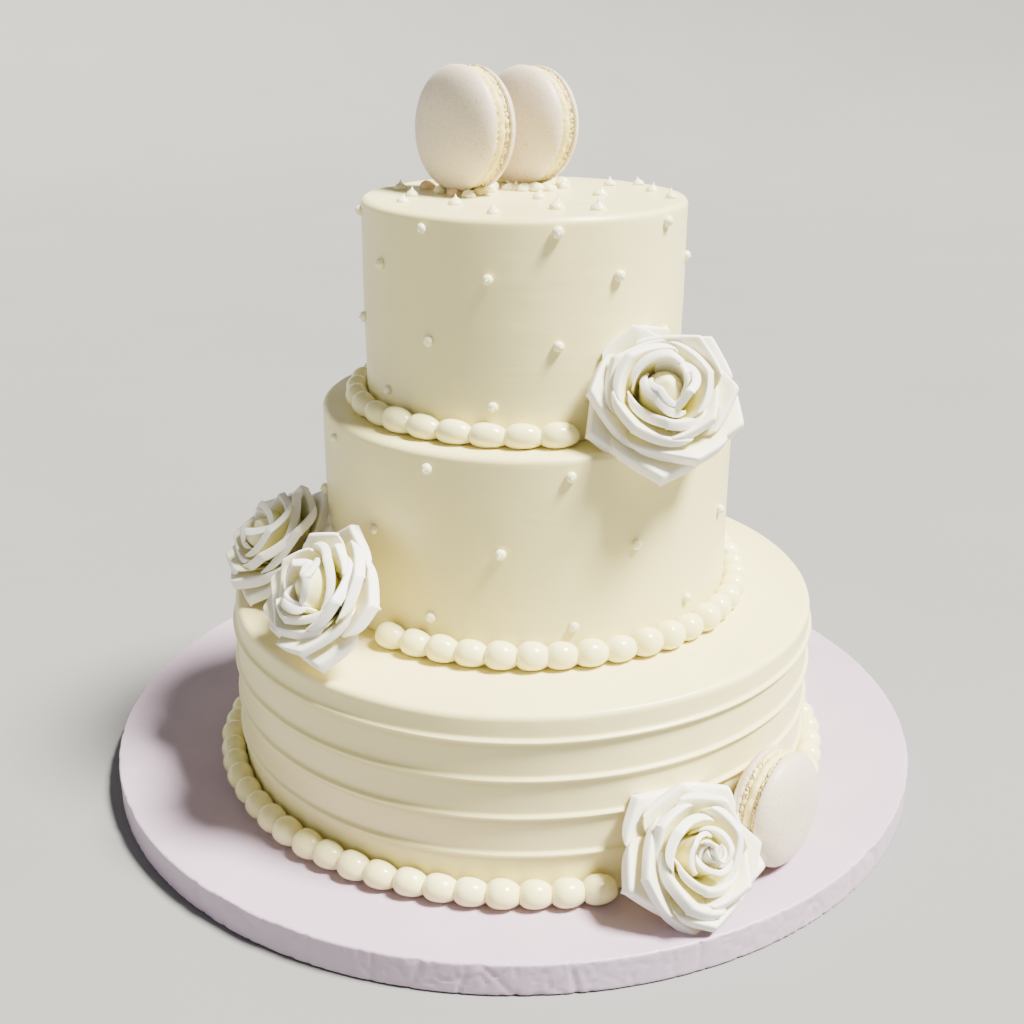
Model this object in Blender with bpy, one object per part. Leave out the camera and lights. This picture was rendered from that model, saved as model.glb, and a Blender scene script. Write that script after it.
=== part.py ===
"""Three-tier iced cake on its round cake board, with piped bead borders, sugar roses and macarons.

Blender 4.5, metres, +Z up. The origin is the centre of the board's underside. The front of the
cake looks along -Y. Angles round a tier are in degrees from +X, counter-clockwise seen from above.
"""
import math

import bmesh
import bpy
import numpy as np
from mathutils import Matrix, Vector

MM = 0.001
GAP = 0.3 * MM
MERGE = 0.002 * MM
FLAT_ENOUGH = math.radians(0.5)

# Board: a 14 inch drum
BOARD_RADIUS = 177.8 * MM
BOARD_TOP = 13.2 * MM
BOARD_EDGE = 0.8 * MM
BOARD_SIDES = 48

# Tiers: axis on the plan, radius, and the height of the top
TIER_SIDES = 36
BOTTOM_AXIS = (3.5 * MM, -19.3 * MM)
BOTTOM_RADIUS = 122.0 * MM
BOTTOM_TOP = 89.1 * MM
MIDDLE_AXIS = (5.4 * MM, -17.9 * MM)
MIDDLE_RADIUS = 83.8 * MM
MIDDLE_TOP = 169.4 * MM
TOP_AXIS = (3.5 * MM, -22.3 * MM)
TOP_RADIUS = 62.9 * MM
TOP_TOP = 250.4 * MM
RIM_ROUND = 2.4 * MM

# Combed ridges on the bottom tier's side
RIDGE_HEIGHTS = (31.9 * MM, 47.8 * MM, 63.4 * MM, 78.9 * MM)
RIDGE_PROUD = 1.6 * MM
RIDGE_BELOW = 1.2 * MM
RIDGE_ABOVE = 1.0 * MM

# Bead borders: pitch along the ring, the bulb's and the pinch's radius
BEAD_STATIONS = ((0.0, 0.58), (0.26, 1.0), (0.66, 0.97))
BEAD_SIDES = 5
BEAD_POLYGON_FACTOR = 1.06
BOTTOM_BEAD = 5.45 * MM
MIDDLE_BEAD = 5.35 * MM
TOP_BEAD = 4.8 * MM
BOTTOM_PITCH = 11.8 * MM
MIDDLE_PITCH = 11.6 * MM
TOP_PITCH = 13.0 * MM

# Piped dots on the sides: height of each row and the angle of its first dot
DOT_RADIUS = 2.2 * MM
DOT_HEIGHT = 3.2 * MM
DOT_SINK = 0.5 * MM
DOT_SIDES = 4
TOP_DOTS_PER_ROW = 8
TOP_DOT_ROWS = ((183.0 * MM, -146.0), (205.5 * MM, -124.5), (229.7 * MM, -147.5), (245.6 * MM, -125.5))
MIDDLE_DOTS_PER_ROW = 10
MIDDLE_DOT_ROWS = ((103.7 * MM, -115.5), (133.2 * MM, -133.5), (162.6 * MM, -117.0))

# Kisses on the top surface: distance from the tier's axis and angle
KISS_RADIUS = 2.7 * MM
KISS_HEIGHT = 4.4 * MM
KISSES = ((54.8, 154), (46.0, 172), (47.4, -164), (34.0, -148), (41.0, -107), (18.0, -62), (35.0, -70),
          (31.0, 14), (42.0, -46), (54.6, 47), (57.0, 33), (55.2, 19), (56.3, -6), (55.0, 100), (56.0, 128),
          (30.0, -28))

# Soft blobs round each macaron's foot on top: offset along its face's heading and along its edge, and radius
BLOBS = ((10.4, -10.0, 3.2), (10.6, -3.0, 3.4), (10.4, 4.5, 3.3), (9.8, 11.5, 3.2), (3.0, 16.5, 3.3),
         (-4.5, 16.0, 3.4), (-10.2, 8.5, 3.3), (-10.4, 0.5, 3.2), (-10.0, -8.0, 3.4), (-1.0, -16.5, 3.2))

# Macarons
MACARON_DOME = 6.6 * MM
MACARON_FOOT = 3.0 * MM
MACARON_FOOT_OUT = 0.2 * MM
MACARON_FILLING = 2.6 * MM
MACARON_FILLING_SHORT = 1.6 * MM
MACARON_SIDES = 14
TOP_MACARONS = (("macaron_front", (-19.6 * MM, -16.9 * MM, 274.6 * MM), -138.0, 3.0, 23.4 * MM),
                ("macaron_behind", (5.3 * MM, 5.1 * MM, 274.0 * MM), -136.0, 3.0, 22.8 * MM))
LOWER_MACARON = ("macaron_lower", (98.4 * MM, -116.8 * MM, 36.2 * MM), -41.0, 4.0, 22.2 * MM)

# Sugar roses. Each whorl: count, first turn, lean, curl, base, root, length, half width, drop of the folded
# edge from its tip, lip width, lip turn and cup. Lengths in mm, angles in degrees.
WHORLS = (
    (3, 0.0, 20.0, 2.0, 3.5, 8.0, 20.0, 15.5, 25.0, 3.4, 120.0, 1.6),
    (4, 40.0, 46.0, 5.0, 2.0, 6.5, 23.0, 17.5, 28.0, 4.4, 112.0, 2.2),
    (5, 110.0, 70.0, 3.0, 0.0, 6.0, 25.5, 17.5, 33.0, 4.4, 96.0, 3.2),
)
PETAL_PARTS = (-1.0, 0.0, 1.0)
PETAL_SPIRAL = 1.6
PETAL_THICKNESS = 1.2 * MM
CORE_SIDES = 8
CORE_PROFILE = ((0.0, -2.0), (7.6, -1.5), (9.2, 4.0), (9.2, 12.0), (6.4, 19.5), (0.0, 24.0))
ROSE_CLEAR = 0.5 * MM
LEFT_ROSES = (("rose_left_back", (-91.5, -34.5, 105.5), -160.0, 46.0, 50.0, 0.96),
              ("rose_left_front", (-66.5, -94.0, 110.5), -140.0, 38.0, 0.0, 0.92))

IVORY = (0.86, 0.83, 0.68)
ROSE_WHITE = (0.90, 0.89, 0.86)
SHELL_PALE = (0.80, 0.75, 0.69)
FILLING_PALE = (0.85, 0.79, 0.58)
BOARD_PALE = (0.70, 0.66, 0.70)


def clear_scene():
    for item in list(bpy.data.objects):
        bpy.data.objects.remove(item, do_unlink=True)


def material(name, colour, roughness):
    made = bpy.data.materials.new(name)
    made.use_nodes = True
    shader = made.node_tree.nodes["Principled BSDF"]
    shader.inputs["Base Color"].default_value = (*colour, 1.0)
    shader.inputs["Roughness"].default_value = roughness
    shader.inputs["Metallic"].default_value = 0.0
    return made


def add_object(name, points, faces, finish=None, smooth=False):
    """A mesh object from points and faces, its normals turned outward."""
    mesh = bpy.data.meshes.new(name)
    mesh.from_pydata([tuple(point) for point in points], [], faces)
    work = bmesh.new()
    work.from_mesh(mesh)
    bmesh.ops.recalc_face_normals(work, faces=work.faces)
    work.to_mesh(mesh)
    work.free()
    if smooth:
        mesh.shade_smooth()
        mesh.set_sharp_from_angle(angle=math.radians(40))
    item = bpy.data.objects.new(name, mesh)
    bpy.context.scene.collection.objects.link(item)
    if finish is not None:
        mesh.materials.append(finish)
    return item


def lathe(profile, sides):
    """Points and faces of a profile of (radius, height) turned round Z, with flat or pointed ends."""
    points = []
    faces = []
    rings = []
    for radius, height in profile:
        if radius <= 0.0:
            rings.append([len(points)])
            points.append((0.0, 0.0, height))
            continue
        ring = []
        for step in range(sides):
            angle = 2.0 * math.pi * step / sides
            ring.append(len(points))
            points.append((radius * math.cos(angle), radius * math.sin(angle), height))
        rings.append(ring)
    for lower, upper in zip(rings[:-1], rings[1:]):
        for step in range(sides):
            after = (step + 1) % sides
            if len(lower) == 1:
                faces.append((lower[0], upper[after], upper[step]))
            elif len(upper) == 1:
                faces.append((lower[step], lower[after], upper[0]))
            else:
                faces.append((lower[step], lower[after], upper[after], upper[step]))
    for ring in (rings[0], rings[-1]):
        if len(ring) > 1:
            faces.append(tuple(ring))
    return points, faces


def turn_to(direction):
    """A rotation that takes +Z to the given direction."""
    return Vector((0.0, 0.0, 1.0)).rotation_difference(Vector(direction)).to_matrix()


def heading(azimuth, elevation):
    """The unit direction of an azimuth and an elevation in degrees."""
    flat = math.cos(math.radians(elevation))
    return Vector((flat * math.cos(math.radians(azimuth)), flat * math.sin(math.radians(azimuth)),
                   math.sin(math.radians(elevation))))


def placed(points, rotation, origin):
    return [rotation @ Vector(point) + Vector(origin) for point in points]


def combined_mesh(body, group, operation, solver):
    """The body united with, or cut by, the group's objects, as a new mesh."""
    boolean = body.modifiers.new("boolean", "BOOLEAN")
    boolean.operation = operation
    boolean.operand_type = "COLLECTION"
    boolean.collection = group
    boolean.solver = solver
    bpy.context.view_layer.update()
    evaluated = body.evaluated_get(bpy.context.evaluated_depsgraph_get())
    combined = bpy.data.meshes.new_from_object(evaluated)
    body.modifiers.clear()
    return combined


def combine(body, pieces, operation):
    """One applied Boolean of the body with all the pieces: EXACT, or MANIFOLD where that leaves a gap."""
    group = bpy.data.collections.new(body.name + "_pieces")
    bpy.context.scene.collection.children.link(group)
    for piece in pieces:
        bpy.context.scene.collection.objects.unlink(piece)
        group.objects.link(piece)
    for solver in ("EXACT", "MANIFOLD"):
        combined = combined_mesh(body, group, operation, solver)
        if keep_main_shell(combined):
            break
    finish = body.data.materials[0]
    body.data = combined
    combined.materials.clear()
    combined.materials.append(finish)
    for piece in pieces:
        bpy.data.objects.remove(piece, do_unlink=True)
    bpy.data.collections.remove(group)
    return body


def connected_faces(work):
    """The faces of a bmesh, grouped by the edges that they share."""
    remaining = set(work.faces)
    shells = []
    while remaining:
        shell = [remaining.pop()]
        for face in shell:
            for edge in face.edges:
                for near in edge.link_faces:
                    if near in remaining:
                        remaining.remove(near)
                        shell.append(near)
        shells.append(shell)
    return shells


def keep_main_shell(mesh):
    """Drops loose scraps and sealed pockets, splits into triangles, and says whether the rest is closed."""
    work = bmesh.new()
    work.from_mesh(mesh)
    bmesh.ops.dissolve_degenerate(work, edges=work.edges, dist=MERGE)
    shells = connected_faces(work)
    shells.sort(key=lambda shell: -sum(face.calc_area() for face in shell))
    for shell in shells[1:]:
        bmesh.ops.delete(work, geom=shell, context="FACES")
    bmesh.ops.dissolve_limit(work, angle_limit=FLAT_ENOUGH, verts=work.verts, edges=work.edges)
    bmesh.ops.triangulate(work, faces=work.faces)
    bmesh.ops.recalc_face_normals(work, faces=work.faces)
    closed = all(len(edge.link_faces) == 2 for edge in work.edges)
    work.to_mesh(mesh)
    work.free()
    return closed


# Tiers and board

def rim_profile(radius, top):
    """The rounded top edge of a tier, from its side up to its flat top."""
    stretch = []
    for step in range(3):
        angle = math.radians(45 * step)
        stretch.append((radius - RIM_ROUND * (1 - math.cos(angle)), top - RIM_ROUND * (1 - math.sin(angle))))
    return stretch


def tier(name, axis, radius, base, top, ridges, finish):
    profile = [(radius, base + GAP)]
    for height in ridges:
        profile.append((radius, height - RIDGE_BELOW))
        profile.append((radius + RIDGE_PROUD, height))
        profile.append((radius, height + RIDGE_ABOVE))
    profile.extend(rim_profile(radius, top))
    points, faces = lathe(profile, TIER_SIDES)
    points = [(x + axis[0], y + axis[1], z) for x, y, z in points]
    return add_object(name, points, faces, finish, smooth=True)


def board(finish):
    inner = BOARD_RADIUS - BOARD_EDGE
    profile = ((inner, 0.0), (BOARD_RADIUS, BOARD_EDGE), (BOARD_RADIUS, BOARD_TOP - BOARD_EDGE), (inner, BOARD_TOP))
    points, faces = lathe(profile, BOARD_SIDES)
    return add_object("board", points, faces, finish, smooth=True)


# Piped dots, kisses and blobs

def drop_shape(radius, height, sides):
    """A piped drop along +Z: round below, drawn up to a small tip, its foot sunk below zero."""
    profile = ((0.0, -DOT_SINK), (radius * 0.8, -DOT_SINK * 0.4), (radius, height * 0.35), (0.0, height))
    return lathe(profile, sides)


def wall_drop(name, axis, radius, angle, height):
    points, faces = drop_shape(DOT_RADIUS, DOT_HEIGHT, DOT_SIDES)
    out = Vector((math.cos(math.radians(angle)), math.sin(math.radians(angle)), 0.0))
    facet = radius * math.cos(math.pi / TIER_SIDES)
    origin = Vector((axis[0], axis[1], height)) + out * facet
    return add_object(name, placed(points, turn_to(out), origin), faces)


def dot_rows(name, axis, radius, rows, count):
    made = []
    for height, first in rows:
        for step in range(count):
            angle = first + 360.0 * step / count
            made.append(wall_drop(f"{name}_{len(made)}", axis, radius, angle, height))
    return made


def top_drops():
    made = []
    upright = Matrix.Identity(3)
    for distance, angle in KISSES:
        points, faces = drop_shape(KISS_RADIUS, KISS_HEIGHT, DOT_SIDES)
        origin = (TOP_AXIS[0] + distance * MM * math.cos(math.radians(angle)),
                  TOP_AXIS[1] + distance * MM * math.sin(math.radians(angle)), TOP_TOP)
        made.append(add_object(f"kiss_{len(made)}", placed(points, upright, origin), faces))
    for _, centre, azimuth, _, _ in TOP_MACARONS:
        face = heading(azimuth, 0.0)
        edge = Vector((-face.y, face.x, 0.0))
        for forward, along, radius in BLOBS:
            size = radius * MM
            points, faces = lathe(((0.0, -DOT_SINK), (size, -DOT_SINK * 0.4), (size * 0.9, size * 0.4),
                                   (0.0, size * 0.75)), DOT_SIDES)
            spot = Vector((centre[0], centre[1], TOP_TOP)) + face * forward * MM + edge * along * MM
            made.append(add_object(f"blob_{len(made)}", placed(points, upright, spot), faces))
    return made


# Bead borders

def bead_border(name, axis, wall, floor, bead, pitch, first, last, finish):
    """A string of beads in the corner between a wall and a floor, from one angle round to another."""
    ring_radius = wall + GAP + bead
    turn = math.radians(last - first)
    count = round(turn * ring_radius / pitch)
    stations = []
    for number in range(count):
        for fraction, swell in BEAD_STATIONS:
            stations.append(((number + fraction) / count, swell))
    stations.append((1.0, BEAD_STATIONS[0][1]))
    points = []
    for along, swell in stations:
        angle = math.radians(first) + turn * along
        size = bead * swell
        for step in range(BEAD_SIDES):
            side = math.radians(225.0) + 2.0 * math.pi * step / BEAD_SIDES
            outward = wall + GAP + size + size * BEAD_POLYGON_FACTOR * math.cos(side)
            height = floor + GAP + size + size * BEAD_POLYGON_FACTOR * math.sin(side)
            points.append((axis[0] + outward * math.cos(angle), axis[1] + outward * math.sin(angle), height))
    faces = []
    for place in range(len(stations) - 1):
        for step in range(BEAD_SIDES):
            after = (step + 1) % BEAD_SIDES
            near = place * BEAD_SIDES
            far = near + BEAD_SIDES
            faces.append((near + step, near + after, far + after))
            faces.append((near + step, far + after, far + step))
    faces.append(tuple(range(BEAD_SIDES)))
    faces.append(tuple(range(len(points) - BEAD_SIDES, len(points))))
    return add_object(name, points, faces, finish)


# Macarons

def shell_profile(radius):
    """One shell, from its flat side at height zero up to the top of its dome."""
    foot = radius + MACARON_FOOT_OUT
    return ((foot - 0.9 * MM, 0.0), (foot, MACARON_FOOT * 0.55), (radius, MACARON_FOOT),
            (radius * 0.90, MACARON_FOOT + MACARON_DOME * 0.50),
            (radius * 0.62, MACARON_FOOT + MACARON_DOME * 0.88), (0.0, MACARON_FOOT + MACARON_DOME))


def macaron(name, centre, azimuth, elevation, radius, shell_finish, filling_finish):
    """A macaron on edge whose front shell faces along azimuth and elevation."""
    face = heading(azimuth, elevation)
    middle = Vector(centre)
    half = MACARON_FILLING / 2
    filling = radius - MACARON_FILLING_SHORT
    edge = filling - 0.5 * MM
    points, faces = lathe(((edge, -half), (filling, 0.0), (edge, half)), MACARON_SIDES)
    add_object(name + "_filling", placed(points, turn_to(face), middle), faces, filling_finish, smooth=True)
    for side, way in (("front", 1.0), ("back", -1.0)):
        points, faces = lathe(shell_profile(radius), MACARON_SIDES)
        origin = middle + face * way * (half + GAP)
        add_object(f"{name}_shell_{side}", placed(points, turn_to(face * way), origin), faces, shell_finish,
                   smooth=True)


# Roses

def flat_petal(length, half_width, drop, lip, lip_turn, root):
    """A petal laid flat, as rows of (across, along, above): its root, its folded edge and its lip's edge."""
    sheet = np.zeros((3, len(PETAL_PARTS), 3))
    for column, part in enumerate(PETAL_PARTS):
        fold = (part * half_width, length - abs(part) * half_width * math.tan(math.radians(drop)))
        way = math.radians(drop) * float(np.sign(part))
        width = lip * (1.0 - 0.6 * abs(part) ** 4)
        out = width * math.cos(math.radians(lip_turn * 0.62))
        down = width * math.sin(math.radians(lip_turn * 0.62))
        sheet[0, column] = (root * 1.2 * part, 0.0, -0.3 * PETAL_SPIRAL * part)
        sheet[1, column] = (fold[0], fold[1], -PETAL_SPIRAL * part)
        sheet[2, column] = (fold[0] + out * math.sin(way), fold[1] + out * math.cos(way),
                            -PETAL_SPIRAL * part - down)
    return sheet


def bent_petal(flat, azimuth, lean, curl, base, root, length, cup, size):
    """The flat petal stood up at its lean and wrapped round the rose's axis, which is +Z."""
    turn = math.radians(azimuth)
    outward = np.array((math.cos(turn), math.sin(turn), 0.0))
    across = np.array((-math.sin(turn), math.cos(turn), 0.0))
    upward = np.array((0.0, 0.0, 1.0))
    sheet = np.zeros_like(flat)
    for place in np.ndindex(flat.shape[:2]):
        side, along, above = flat[place]
        radius = root * 0.9
        height = base
        steps = 16
        for step in range(steps):
            slope = math.radians(lean + curl * (2.0 * (step + 0.5) / steps * along / length - 1.0))
            radius += math.sin(slope) * along / steps
            height += math.cos(slope) * along / steps
        slope = math.radians(lean + curl * (2.0 * along / length - 1.0))
        wrap = cup * radius / max(0.12, math.cos(slope))
        inward = math.sin(slope) * upward - math.cos(slope) * outward
        swing = side / wrap
        point = radius * outward + height * upward
        point = point + wrap * (1.0 - math.cos(swing)) * inward + wrap * math.sin(swing) * across
        point = point + above * (math.cos(swing) * inward - math.sin(swing) * across)
        sheet[place] = point * size * MM
    return sheet


def unit_steps(sheet, axis):
    """At each point, the way along an axis of the sheet, midway between its two neighbours."""
    stride = np.diff(sheet, axis=axis)
    stride = stride / np.linalg.norm(stride, axis=2, keepdims=True)
    first = np.take(stride, [0], axis=axis)
    last = np.take(stride, [-1], axis=axis)
    return np.concatenate([first, stride], axis=axis) + np.concatenate([stride, last], axis=axis)


def sheet_normals(sheet):
    normal = np.cross(unit_steps(sheet, 1), unit_steps(sheet, 0))
    return normal / np.linalg.norm(normal, axis=2, keepdims=True)


def thick_sheet(name, sheet, thickness):
    """A closed solid from a sheet of points, both faces split into triangles alike."""
    normal = sheet_normals(sheet)
    rows, columns = sheet.shape[:2]
    points = np.concatenate([(sheet + normal * thickness / 2).reshape(-1, 3),
                             (sheet - normal * thickness / 2).reshape(-1, 3)])
    half = rows * columns
    faces = []
    for row in range(rows - 1):
        for column in range(columns - 1):
            a = row * columns + column
            b = a + 1
            c = a + columns + 1
            d = a + columns
            faces.extend(((a, b, c), (a, c, d)))
            faces.extend(((half + a, half + c, half + b), (half + a, half + d, half + c)))
    outline = [column for column in range(columns)]
    outline += [row * columns + columns - 1 for row in range(1, rows)]
    outline += [(rows - 1) * columns + column for column in range(columns - 2, -1, -1)]
    outline += [row * columns for row in range(rows - 2, 0, -1)]
    for here, after in zip(outline, outline[1:] + outline[:1]):
        faces.append((here, half + here, half + after))
        faces.append((here, half + after, after))
    return add_object(name, points, faces)


def cutter(name, axis, radius, base, top):
    """A cylinder a little larger than what a rose is set against."""
    points, faces = lathe(((radius + ROSE_CLEAR, base - ROSE_CLEAR), (radius + ROSE_CLEAR, top + ROSE_CLEAR)),
                          TIER_SIDES)
    item = add_object(name, [(x + axis[0], y + axis[1], z) for x, y, z in points], faces)
    item.hide_render = True
    item.display_type = "WIRE"
    return item


def macaron_cutter(name, centre, azimuth, elevation, radius):
    """A closed form a little larger than a whole macaron."""
    half = MACARON_FILLING / 2 + GAP + MACARON_FOOT
    rim = radius + MACARON_FOOT_OUT + ROSE_CLEAR
    side = ((rim, half), (radius * 0.90 + ROSE_CLEAR, half + MACARON_DOME * 0.50 + ROSE_CLEAR),
            (radius * 0.62 + ROSE_CLEAR, half + MACARON_DOME * 0.88 + ROSE_CLEAR),
            (0.0, half + MACARON_DOME + ROSE_CLEAR))
    profile = tuple((distance, -height) for distance, height in reversed(side)) + side
    points, faces = lathe(profile, MACARON_SIDES)
    item = add_object(name, placed(points, turn_to(heading(azimuth, elevation)), Vector(centre)), faces)
    item.hide_render = True
    item.display_type = "WIRE"
    return item


def rose(name, centre, azimuth, elevation, spin, size, walls, finish, beside=()):
    """A rose whose axis points along azimuth and elevation, cut clear of the walls and pieces beside it."""
    rotation = turn_to(heading(azimuth, elevation))
    origin = Vector([value * MM for value in centre])
    core = [(radius * MM * size, height * MM * size) for radius, height in CORE_PROFILE]
    core_points, core_faces = lathe(core, CORE_SIDES)
    body = add_object(name, placed(core_points, rotation, origin), core_faces, finish)
    petals = []
    for count, first, lean, curl, base, root, length, half_width, drop, lip, lip_turn, cup in WHORLS:
        flat = flat_petal(length, half_width, drop, lip, lip_turn, root)
        for step in range(count):
            turn = spin + first + 360.0 * step / count
            sheet = bent_petal(flat, turn, lean, curl, base, root, length, cup, size)
            sheet = sheet @ np.array(rotation).T + np.array(origin)
            petals.append(thick_sheet(f"{name}_petal_{len(petals)}", sheet, PETAL_THICKNESS))
    combine(body, petals, "UNION")
    cutters = [cutter(f"{name}_cutter_{number}", *wall) for number, wall in enumerate(walls)]
    cutters.extend(beside)
    return combine(body, cutters, "DIFFERENCE")


def build():
    clear_scene()
    ivory = material("ivory_icing", IVORY, 0.35)
    rose_white = material("rose_white", ROSE_WHITE, 0.55)
    shell_pale = material("macaron_shell", SHELL_PALE, 0.6)
    filling_pale = material("macaron_filling", FILLING_PALE, 0.6)
    board_pale = material("board_wrap", BOARD_PALE, 0.4)

    board(board_pale)
    tier("bottom_tier", BOTTOM_AXIS, BOTTOM_RADIUS, BOARD_TOP, BOTTOM_TOP, RIDGE_HEIGHTS, ivory)
    middle = tier("middle_tier", MIDDLE_AXIS, MIDDLE_RADIUS, BOTTOM_TOP, MIDDLE_TOP, (), ivory)
    combine(middle, dot_rows("middle_dot", MIDDLE_AXIS, MIDDLE_RADIUS, MIDDLE_DOT_ROWS, MIDDLE_DOTS_PER_ROW),
            "UNION")
    top = tier("top_tier", TOP_AXIS, TOP_RADIUS, MIDDLE_TOP, TOP_TOP, (), ivory)
    dots = dot_rows("top_dot", TOP_AXIS, TOP_RADIUS, TOP_DOT_ROWS, TOP_DOTS_PER_ROW)
    combine(top, dots + top_drops(), "UNION")

    borders = (("border_bottom", BOTTOM_AXIS, BOTTOM_RADIUS, BOARD_TOP, BOTTOM_BEAD, BOTTOM_PITCH, -33.0, 285.0),
               ("border_middle", MIDDLE_AXIS, MIDDLE_RADIUS, BOTTOM_TOP, MIDDLE_BEAD, MIDDLE_PITCH, -128.0, 172.0),
               ("border_top", TOP_AXIS, TOP_RADIUS, MIDDLE_TOP, TOP_BEAD, TOP_PITCH, -32.0, 286.0))
    for row in borders:
        bead_border(*row, ivory)

    board_wall = ((0.0, 0.0), BOARD_RADIUS, 0.0, BOARD_TOP)
    bottom_wall = (BOTTOM_AXIS, BOTTOM_RADIUS + RIDGE_PROUD, BOARD_TOP, BOTTOM_TOP)
    middle_wall = (MIDDLE_AXIS, MIDDLE_RADIUS, BOTTOM_TOP, MIDDLE_TOP)
    top_wall = (TOP_AXIS, TOP_RADIUS, MIDDLE_TOP, TOP_TOP)
    beside = [macaron_cutter("rose_lower_cutter_macaron", *LOWER_MACARON[1:])]
    rose("rose_upper", (51.5, -79.5, 182.5), -85.0, 38.0, 20.0, 1.0, (top_wall, middle_wall), rose_white)
    for name, centre, azimuth, elevation, spin, size in LEFT_ROSES:
        rose(name, centre, azimuth, elevation, spin, size, (middle_wall, bottom_wall), rose_white)
    rose("rose_lower", (61.0, -139.0, 29.0), -62.0, 37.0, 35.0, 0.95, (bottom_wall, board_wall), rose_white, beside)

    for place in TOP_MACARONS + (LOWER_MACARON,):
        macaron(*place, shell_pale, filling_pale)


build()
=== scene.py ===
import math
import random

import bpy
import numpy as np
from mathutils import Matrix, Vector, noise


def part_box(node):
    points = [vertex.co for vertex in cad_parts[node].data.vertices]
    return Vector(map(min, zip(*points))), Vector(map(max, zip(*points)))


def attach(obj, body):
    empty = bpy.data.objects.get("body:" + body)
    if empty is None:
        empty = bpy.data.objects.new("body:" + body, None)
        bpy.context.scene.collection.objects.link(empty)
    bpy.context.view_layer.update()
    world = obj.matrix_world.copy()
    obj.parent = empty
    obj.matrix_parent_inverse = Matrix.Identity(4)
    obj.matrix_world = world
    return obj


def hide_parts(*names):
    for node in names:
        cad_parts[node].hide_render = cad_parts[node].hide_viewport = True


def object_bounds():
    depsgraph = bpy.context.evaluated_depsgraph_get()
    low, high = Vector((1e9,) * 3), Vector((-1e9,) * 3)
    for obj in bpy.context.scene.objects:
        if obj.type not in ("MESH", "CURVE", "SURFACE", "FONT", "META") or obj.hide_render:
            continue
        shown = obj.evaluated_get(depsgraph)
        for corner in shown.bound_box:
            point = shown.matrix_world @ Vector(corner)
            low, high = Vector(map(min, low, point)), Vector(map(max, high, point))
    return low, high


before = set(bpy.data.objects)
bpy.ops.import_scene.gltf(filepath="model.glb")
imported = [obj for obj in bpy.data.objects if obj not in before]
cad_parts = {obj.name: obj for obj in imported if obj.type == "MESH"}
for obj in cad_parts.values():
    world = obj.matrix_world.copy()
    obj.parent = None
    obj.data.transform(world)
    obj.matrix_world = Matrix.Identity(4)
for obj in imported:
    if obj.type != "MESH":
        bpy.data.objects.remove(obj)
CAD_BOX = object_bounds()

MM = 0.001

# Camera, worked out from the circles of the board, tiers, ridges and borders in the photograph
CAMERA_PLACE = (-3.54 * MM, -535.95 * MM, 316.9 * MM)
CAMERA_FORWARD = Vector((0.00467, 0.93304, -0.35975))
CAMERA_UP = Vector((-0.0002, 0.3598, 0.9330))
SENSOR = 36.0
LENS = 45.76
CLIP_NEAR = 0.01
CLIP_FAR = 30.0

# Lights: azimuth and elevation they come from, strength, softness in degrees and colour
KEY_LIGHT = (-14.0, 59.0, 22.0, 14.0, (1.0, 0.98, 0.84))
FILL_LIGHT = (-110.0, 30.0, 0.30, 60.0, (0.96, 0.98, 1.0))
STUDIO_COLOUR = (0.92, 0.96, 1.0)
STUDIO_STRENGTH = 0.12

# Floor: a flat disc whose rim sweeps up far from the cake
FLOOR_HEIGHT = -0.4 * MM
FLOOR_RINGS = (0.0005, 0.4, 1.2, 2.2)
FLOOR_SWEEP = 1.4
FLOOR_SWEEP_ROWS = 24
FLOOR_SEGMENTS = 96

# Colours in linear red, green and blue: the two ends of each mottled material, and the marks on it
ICING_COLOURS = ((0.835, 0.745, 0.360), (0.862, 0.775, 0.400))
BEAD_COLOURS = ((0.885, 0.810, 0.400), (0.905, 0.840, 0.450))
# Dots and kisses: the bead icing painted paler, a painted highlight for the bright sheen on them
PAINTED_HIGHLIGHT_COLOURS = ((0.925, 0.870, 0.540), (0.945, 0.900, 0.640))
ROSE_WHITES = ((0.905, 0.855, 0.780), (0.925, 0.885, 0.830))
# The roses' fold colour: a painted yellow glow of bounced light in their shaded folds
ROSE_PAINTED_GLOW = (0.87, 0.80, 0.28)
SHELL_COLOURS = ((0.675, 0.570, 0.455), (0.745, 0.650, 0.525))
SHELL_GRAIN = (0.56, 0.40, 0.26)
SHELL_SPECK = (0.36, 0.20, 0.10)
FOOT_COLOURS = ((0.74, 0.58, 0.20), (0.90, 0.81, 0.42))
PEACH_COLOURS = ((0.86, 0.58, 0.33), (0.90, 0.72, 0.50))
BOARD_COLOURS = ((0.435, 0.330, 0.450), (0.545, 0.425, 0.555))
BOARD_FLECK = (0.44, 0.30, 0.38)
FLOOR_COLOURS = ((0.20, 0.20, 0.21), (0.22, 0.22, 0.23))

# Board and tiers: axis on the plan, radius, and heights
BOARD_RADIUS = 177.8 * MM
BOARD_TOP = 13.2 * MM
BOARD_EDGE = 0.9 * MM
BOARD_SEGMENTS = 1080
BOTTOM_AXIS = (3.5 * MM, -19.3 * MM)
BOTTOM_RADIUS = 122.0 * MM
BOTTOM_TOP = 89.1 * MM
MIDDLE_AXIS = (5.4 * MM, -17.9 * MM)
MIDDLE_RADIUS = 83.8 * MM
MIDDLE_TOP = 169.4 * MM
TOP_AXIS = (3.5 * MM, -22.3 * MM)
TOP_RADIUS = 62.9 * MM
TOP_TOP = 250.4 * MM
FOOT_LIFT = 0.2 * MM
RIM_ROUND = 2.4 * MM
RIM_ROWS = 8
TOP_RINGS = 20
TIER_SEGMENTS = 320
PLAIN_ROWS = 40
RIDGED_ROWS = 150

# Unevenness of the icing: how fine it is and how deep
WALL_WAVES = (22.0, 0.5 * MM)
WALL_GRAIN = (90.0, 0.10 * MM)
TOP_WAVES = (25.0, 0.35 * MM)
TOP_GRAIN = (90.0, 0.12 * MM)

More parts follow.
